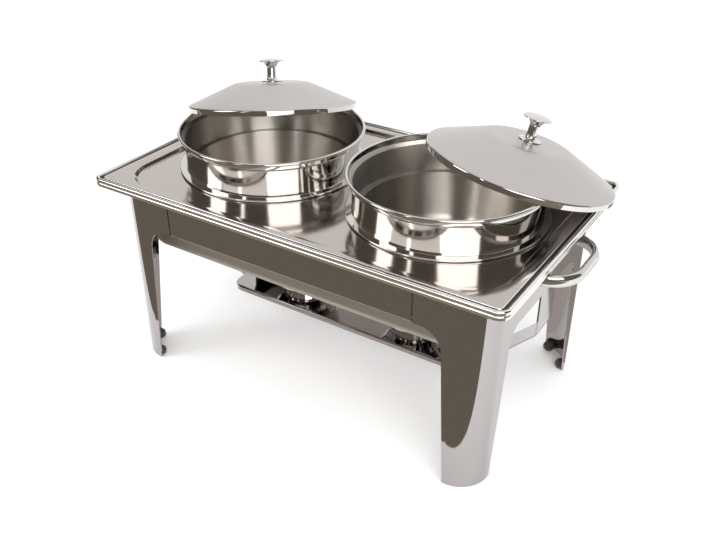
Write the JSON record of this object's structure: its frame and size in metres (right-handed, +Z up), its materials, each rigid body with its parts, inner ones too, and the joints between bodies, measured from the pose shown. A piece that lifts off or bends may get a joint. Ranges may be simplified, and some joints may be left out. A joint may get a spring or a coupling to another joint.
{
  "type": "chafing dish",
  "caption": "Stainless buffet chafing dish: a leg stand with side handles and a hung burner shelf, a water pan, an adapter plate, and round soup pots with loose knobbed lids.",
  "frame": {"origin": "on the floor under the middle of the rim, half-way between the end frames and between the rails", "axes": "+X along the long side towards the right-hand end frame, +Y to the back where the lids lean, +Z up"},
  "size_m": [0.5776, 0.3382, 0.3406],
  "materials": {
    "stand_steel": "mirror polished",
    "pan_steel": "polished",
    "plate_steel": "satin with polished rim",
    "pot_steel": "polished outside, satin inside",
    "lid_steel": "satin dome, polished skirt",
    "handle_steel": "polished",
    "knob_chrome": "mirror",
    "burner_steel": "polished",
    "fastener_steel": "plain",
    "foot_rubber": "matt"
  },
  "bodies": {
    "stand": {"end_frame_left": "stand_steel", "end_frame_right": "stand_steel", "front_rail": "stand_steel", "back_rail": "stand_steel", "stand_nuts": "fastener_steel", "foot_pads": "foot_rubber", "side_handle_left": "handle_steel", "side_handle_right": "handle_steel", "handle_screws": "fastener_steel", "hanger_strap_left": "stand_steel", "hanger_strap_right": "stand_steel", "burner_shelf": "stand_steel", "shelf_rivets": "fastener_steel"},
    "water_pan": {"water_pan": "pan_steel"},
    "adapter_plate": {"adapter_plate": "plate_steel"},
    "pot_left": {"pot_left": "pot_steel"},
    "lid_left": {"lid_left": "lid_steel", "lid_knob_left": "knob_chrome", "knob_screw_left": "fastener_steel"},
    "burner_left": {"burner_cup_left": "burner_steel", "burner_cover_left": "burner_steel", "damper_pivot_left": "fastener_steel"},
    "damper_left": {"damper_left": "burner_steel"},
    "pot_right": {"pot_right": "pot_steel"},
    "lid_right": {"lid_right": "lid_steel", "lid_knob_right": "knob_chrome", "knob_screw_right": "fastener_steel"},
    "burner_right": {"burner_cup_right": "burner_steel", "burner_cover_right": "burner_steel", "damper_pivot_right": "fastener_steel"},
    "damper_right": {"damper_right": "burner_steel"}
  },
  "joints": [
    {"name": "pan_lift", "type": "slide", "parent": "stand", "child": "water_pan", "axis": [0, 0, 1], "range_m": [0, 0.1]},
    {"name": "plate_lift", "type": "slide", "parent": "water_pan", "child": "adapter_plate", "axis": [0, 0, 1], "range_m": [0, 0.08]},
    {"name": "pot_lift_left", "type": "slide", "parent": "adapter_plate", "child": "pot_left", "axis": [0, 0, 1], "range_m": [0, 0.12]},
    {"name": "lid_lift_left", "type": "slide", "parent": "pot_left", "child": "lid_left", "axis": [0, 0, 1], "range_m": [0, 0.12]},
    {"name": "burner_draw_left", "type": "slide", "parent": "stand", "child": "burner_left", "axis": [0, -1, 0], "range_m": [0, 0.12]},
    {"name": "damper_turn_left", "type": "hinge", "parent": "burner_left", "child": "damper_left", "pos_m": [-0.054, 0.008, 0.117], "axis": [0, 0, 1], "range_deg": [-70, 0]},
    {"name": "pot_lift_right", "type": "slide", "parent": "adapter_plate", "child": "pot_right", "axis": [0, 0, 1], "range_m": [0, 0.12]},
    {"name": "lid_lift_right", "type": "slide", "parent": "pot_right", "child": "lid_right", "axis": [0, 0, 1], "range_m": [0, 0.12]},
    {"name": "burner_draw_right", "type": "slide", "parent": "stand", "child": "burner_right", "axis": [0, -1, 0], "range_m": [0, 0.12]},
    {"name": "damper_turn_right", "type": "hinge", "parent": "burner_right", "child": "damper_right", "pos_m": [0.112, 0.008, 0.117], "axis": [0, 0, 1], "range_deg": [-70, 0]}
  ]
}
